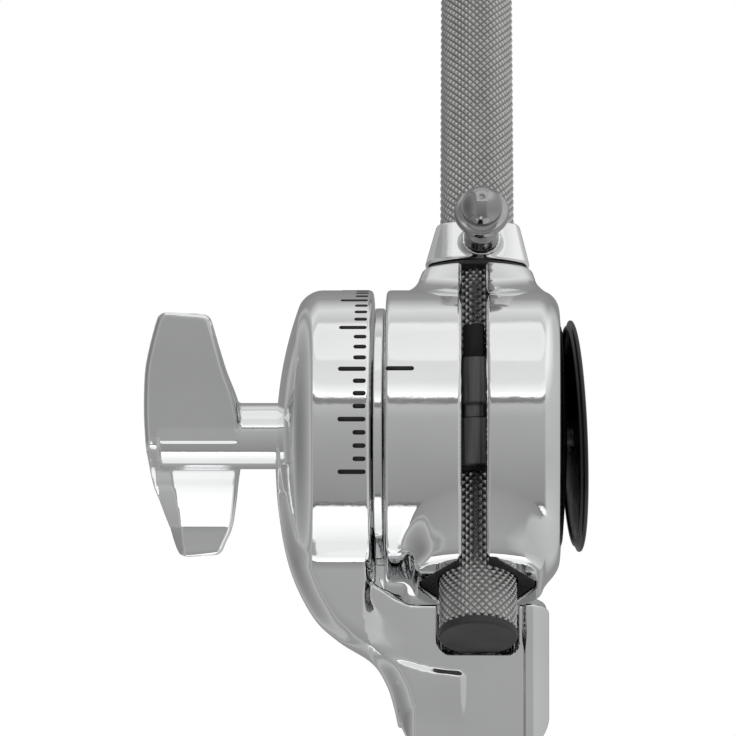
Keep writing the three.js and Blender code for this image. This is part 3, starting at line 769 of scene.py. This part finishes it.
def knurl_finish():
    """Dull nickel on the crests, rougher down in the grooves, with a little grime; the grooves are painted
    darker as painted shade.
    """
    material = bpy.data.materials.new("knurled_steel")
    material.use_nodes = True
    tree = material.node_tree
    shader = tree.nodes["Principled BSDF"]
    shader.inputs["Metallic"].default_value = 1.0
    deep = tree.nodes.new("ShaderNodeAttribute")
    deep.attribute_name = "groove"
    where = tree.nodes.new("ShaderNodeTexCoord").outputs["Object"]
    grime = node(tree, "ShaderNodeTexNoise", Scale=420.0, Detail=4.0)
    link(tree, (where, grime.inputs["Vector"]))
    # Painted shade in the grooves plus real grime; together they darken and roughen the finish.
    painted_shade_and_grime = maths(tree, "ADD", deep.outputs["Fac"], maths(tree, "MULTIPLY", grime.outputs[0], 0.3))
    tone = ramp(tree, [(0.2, (0.95, 0.945, 0.94)), (0.75, (0.62, 0.615, 0.61)), (1.0, (0.34, 0.34, 0.335))])
    rough = ramp(tree, [(0.2, 0.2), (1.0, 0.5)])
    link(tree, (painted_shade_and_grime, tone.inputs[0]), (tone.outputs[0], shader.inputs["Base Color"]),
         (painted_shade_and_grime, rough.inputs[0]), (rough.outputs[0], shader.inputs["Roughness"]))
    return material


rod = add_piece("boom_rod_fine", lean(points) + PIVOT, triangles, knurl_finish(), "rod",
                ["boom_rod"], smooth=False)
# The stored groove depth darkens the knurl's colour in its grooves as painted shade.
rod.data.attributes.new("groove", "FLOAT", "POINT").data.foreach_set("value", groove)

plug_nylon = painted("plug_nylon", 0.035, 0.5, 0.25)
END_FACE, SPIGOT_R = ROD_LOW - 1.5, 4.5
end_plug = [(0, END_FACE + 0.25), (3.4, END_FACE + 0.1), (6.15, END_FACE), (ROD_R, END_FACE + 0.25),
            (ROD_R, ROD_LOW - 0.1), (SPIGOT_R, ROD_LOW - 0.1), (SPIGOT_R, ROD_LOW + 7), (0, ROD_LOW + 7)]
points, faces = turned(rounded(end_plug, 0.2), "z", 96)
keep_flats(add_piece("rod_end_plug_fine", lean(points) + PIVOT, faces, plug_nylon, "rod_end",
                     ["rod_end_plug"]))
top_plug = [(0, ROD_HIGH - 8), (SPIGOT_R, ROD_HIGH - 8), (SPIGOT_R, ROD_HIGH + 0.3), (6.2, ROD_HIGH + 0.3),
            (5.6, ROD_HIGH + 1.5), (0, ROD_HIGH + 1.5)]
points, faces = turned(rounded(top_plug, 0.3), "z", 96)
keep_flats(add_piece("rod_top_plug_fine", lean(points) + PIVOT, faces, plug_nylon, "rod",
                     ["rod_top_plug"]))


# ---------------------------------------------------------------------------------------------
# Stop collar: a small faceted chromed casting clamped on the rod by the key screw in front.
COLLAR_LOW, COLLAR_HIGH, COLLAR_BORE = 29.2, 37.6, 6.5
KEY_X, KEY_Z, KEY_HOLE_R = 0.7, 32.6, 2.3


def collar_distance(x, y, z):
    """Distance to the collar: a crowned block that tapers upwards, with slanted side facets and a boss for
    the screw, less the rod's hole and the screw's."""
    share = (z - COLLAR_LOW) / (COLLAR_HIGH - COLLAR_LOW)
    half = 8.85 - 1.8 * share - 0.24 * np.maximum(5.0 + y, 0)
    body = crowned(x - 0.15 * share, y, half, 8.9 - 1.7 * share, 1.1, 0.03) * 0.93
    body = round_common(body, slab(z, COLLAR_LOW, COLLAR_HIGH), 0.5)
    around = np.hypot(x - KEY_X, z - KEY_Z)
    boss = np.maximum(around - 3.3, slab(y, -9.5, -5))
    body = round_join(body, boss, 0.8)
    body = round_common(body, COLLAR_BORE - np.hypot(x, y), 0.25)
    return round_common(body, -np.maximum(around - KEY_HOLE_R, y + 2), 0.2)


points, faces, normals = cast_surface(collar_distance, [-9.2, -9.8, 29], [9.2, 9.2, 37.8], 0.25)
add_piece("stop_collar_fine", lean(points) + PIVOT, faces, cast_chrome, "collar",
          ["stop_collar"], lean(normals))


def collar_washer_distance(x, y, z):
    """Distance to the black washer under the collar: the collar's outline, a little smaller and flat."""
    plate = crowned(x, y, 8.3 - 0.24 * np.maximum(5.0 + y, 0), 8.4, 1.1, 0.03) * 0.93
    plate = np.maximum(plate, COLLAR_BORE - np.hypot(x, y))
    return round_common(plate, slab(z, 28.2, 29.1), 0.15)


points, faces, normals = cast_surface(collar_washer_distance, [-8.6, -8.8, 28.1], [8.6, 8.8, 29.2], 0.25)
add_piece("collar_washer", lean(points) + PIVOT, faces, plug_nylon, "collar",
          normals=lean(normals))

key_shank = [(0, 8), (2, 8), (2, 9.9), (2.95, 9.9), (2.35, 11.5), (2.9, 11.9), (2.9, 12.5), (2.2, 12.9),
             (2.3, 16.2), (4.4, 16.9), (4.6, 17.4), (4.6, 18.1), (4.3, 18.4), (3.25, 18.6)]
key_ball = [(3.45 * math.cos(a), 19.6 + 3.3 * math.sin(a)) for a in np.radians(np.linspace(-14, 78, 16))]
KEY_OUTLINE = key_shank + key_ball + [(0.45, 22.75), (0, 22.4)]
points, faces = turned(rounded([(r, -d) for r, d in KEY_OUTLINE], 0.14, 3), "y", 96)
key_nickel = plated("key_nickel", (0.42, 0.42, 0.42), 0.09, 0.03, 0.03)
keep_flats(add_piece("key_screw_fine", lean(points + [KEY_X, 0, KEY_Z]) + PIVOT, faces, key_nickel, "key",
                     ["key_screw"]))


# ---------------------------------------------------------------------------------------------
# Linings and small fittings: the V linings beside the rod, the bush and the rings are moulded
# black nylon, the screws, pins and sleeves are zinc-plated, the spring and disc screw are dark.
black_nylon = painted("black_nylon", 0.010, 0.55, 0.25)
LINING_LOW, LINING_HIGH, LINING_BORE = BOSS_END + 0.25, -11.7, 6.5


for name, side, edge in (("lower_lining_inner", -1, 3.0), ("lower_lining_outer", 1, 1.7)):
    def lining_distance(x, y, z, side=side, edge=edge):
        """The clamp's pocket less the rod's hole, cut off beside the slot."""
        pocket = outline_distance(np.abs(x), -y, LINING_POCKET)
        block = round_common(pocket, slab(z, LINING_LOW, LINING_HIGH), 0.3)
        block = round_common(block, LINING_BORE - np.hypot(x, y), 0.2)
        return round_common(block, edge - side * x, 0.2)

    left, right = (-9.5, -2.9) if side < 0 else (1.6, 9.5)
    points, faces, normals = cast_surface(lining_distance, [left, -9.8, -27], [right, 8.4, -11.5], 0.25)
    add_piece(name + "_fine", lean(points) + PIVOT, faces, black_nylon, "clamp", [name],
              lean(normals))


def tongue_distance(x, y, z):
    """Distance to the upper lining's tongue, a curved strip that shows in the slot above the eye."""
    around_rod = np.hypot(x, y)
    shell = np.maximum(around_rod - 8.0, 6.55 - around_rod)
    return round_common(np.maximum(np.maximum(shell, slab(x, -2.4, 1.1)), y), slab(z, 10.4, 17.0), 0.3)


points, faces, normals = cast_surface(tongue_distance, [-2.5, -8.2, 10.2], [1.2, -5.5, 17.2], 0.22)
add_piece("upper_lining_tongue", lean(points) + PIVOT, faces, black_nylon, "clamp",
          normals=lean(normals))


def zinc_steel():
    """Zinc-plated steel: a clear sheen with faint blue-grey clouds in tone, roughness and bump."""
    material = bpy.data.materials.new("zinc_steel")
    material.use_nodes = True
    tree = material.node_tree
    shader = tree.nodes["Principled BSDF"]
    shader.inputs["Metallic"].default_value = 1.0
    where = tree.nodes.new("ShaderNodeTexCoord").outputs["Object"]
    cloud = node(tree, "ShaderNodeTexNoise", Scale=500.0, Detail=4.0)
    link(tree, (where, cloud.inputs["Vector"]))
    tone = ramp(tree, [(0.3, (0.45, 0.46, 0.49)), (0.7, (0.62, 0.62, 0.61))])
    rough = ramp(tree, [(0.3, 0.24), (0.7, 0.42)])
    relief = node(tree, "ShaderNodeBump", Strength=0.1, Distance=0.0002)
    link(tree, (cloud.outputs[0], tone.inputs[0]), (tone.outputs[0], shader.inputs["Base Color"]),
         (cloud.outputs[0], rough.inputs[0]), (rough.outputs[0], shader.inputs["Roughness"]),
         (cloud.outputs[0], relief.inputs["Height"]), (relief.outputs[0], shader.inputs["Normal"]))
    return material


plain_steel = zinc_steel()
FITTINGS = [
    (black_nylon, ["tube_seat_ring", "shank_bush", "upper_lining_inner", "upper_lining_outer", "collar_pad"]),
    (plain_steel, ["socket_pin_left", "socket_pin_right", "thrust_washer", "joining_screw_upper",
                   "joining_screw_lower", "spacer_upper", "spacer_lower"]),
    (dark_steel, ["release_spring", "disc_screw"]),
]
CREASE = math.radians(35)
for material, names in FITTINGS:
    for name in names:
        fitting = frame["nodes"][name]
        fitting.data.materials.clear()
        fitting.data.materials.append(material)
        fitting.modifiers.new("weld", "WELD").merge_threshold = 1e-6
        fitting.modifiers.new("crease", "EDGE_SPLIT").split_angle = CREASE
        fitting.data.polygons.foreach_set("use_smooth", np.full(len(fitting.data.polygons), True))
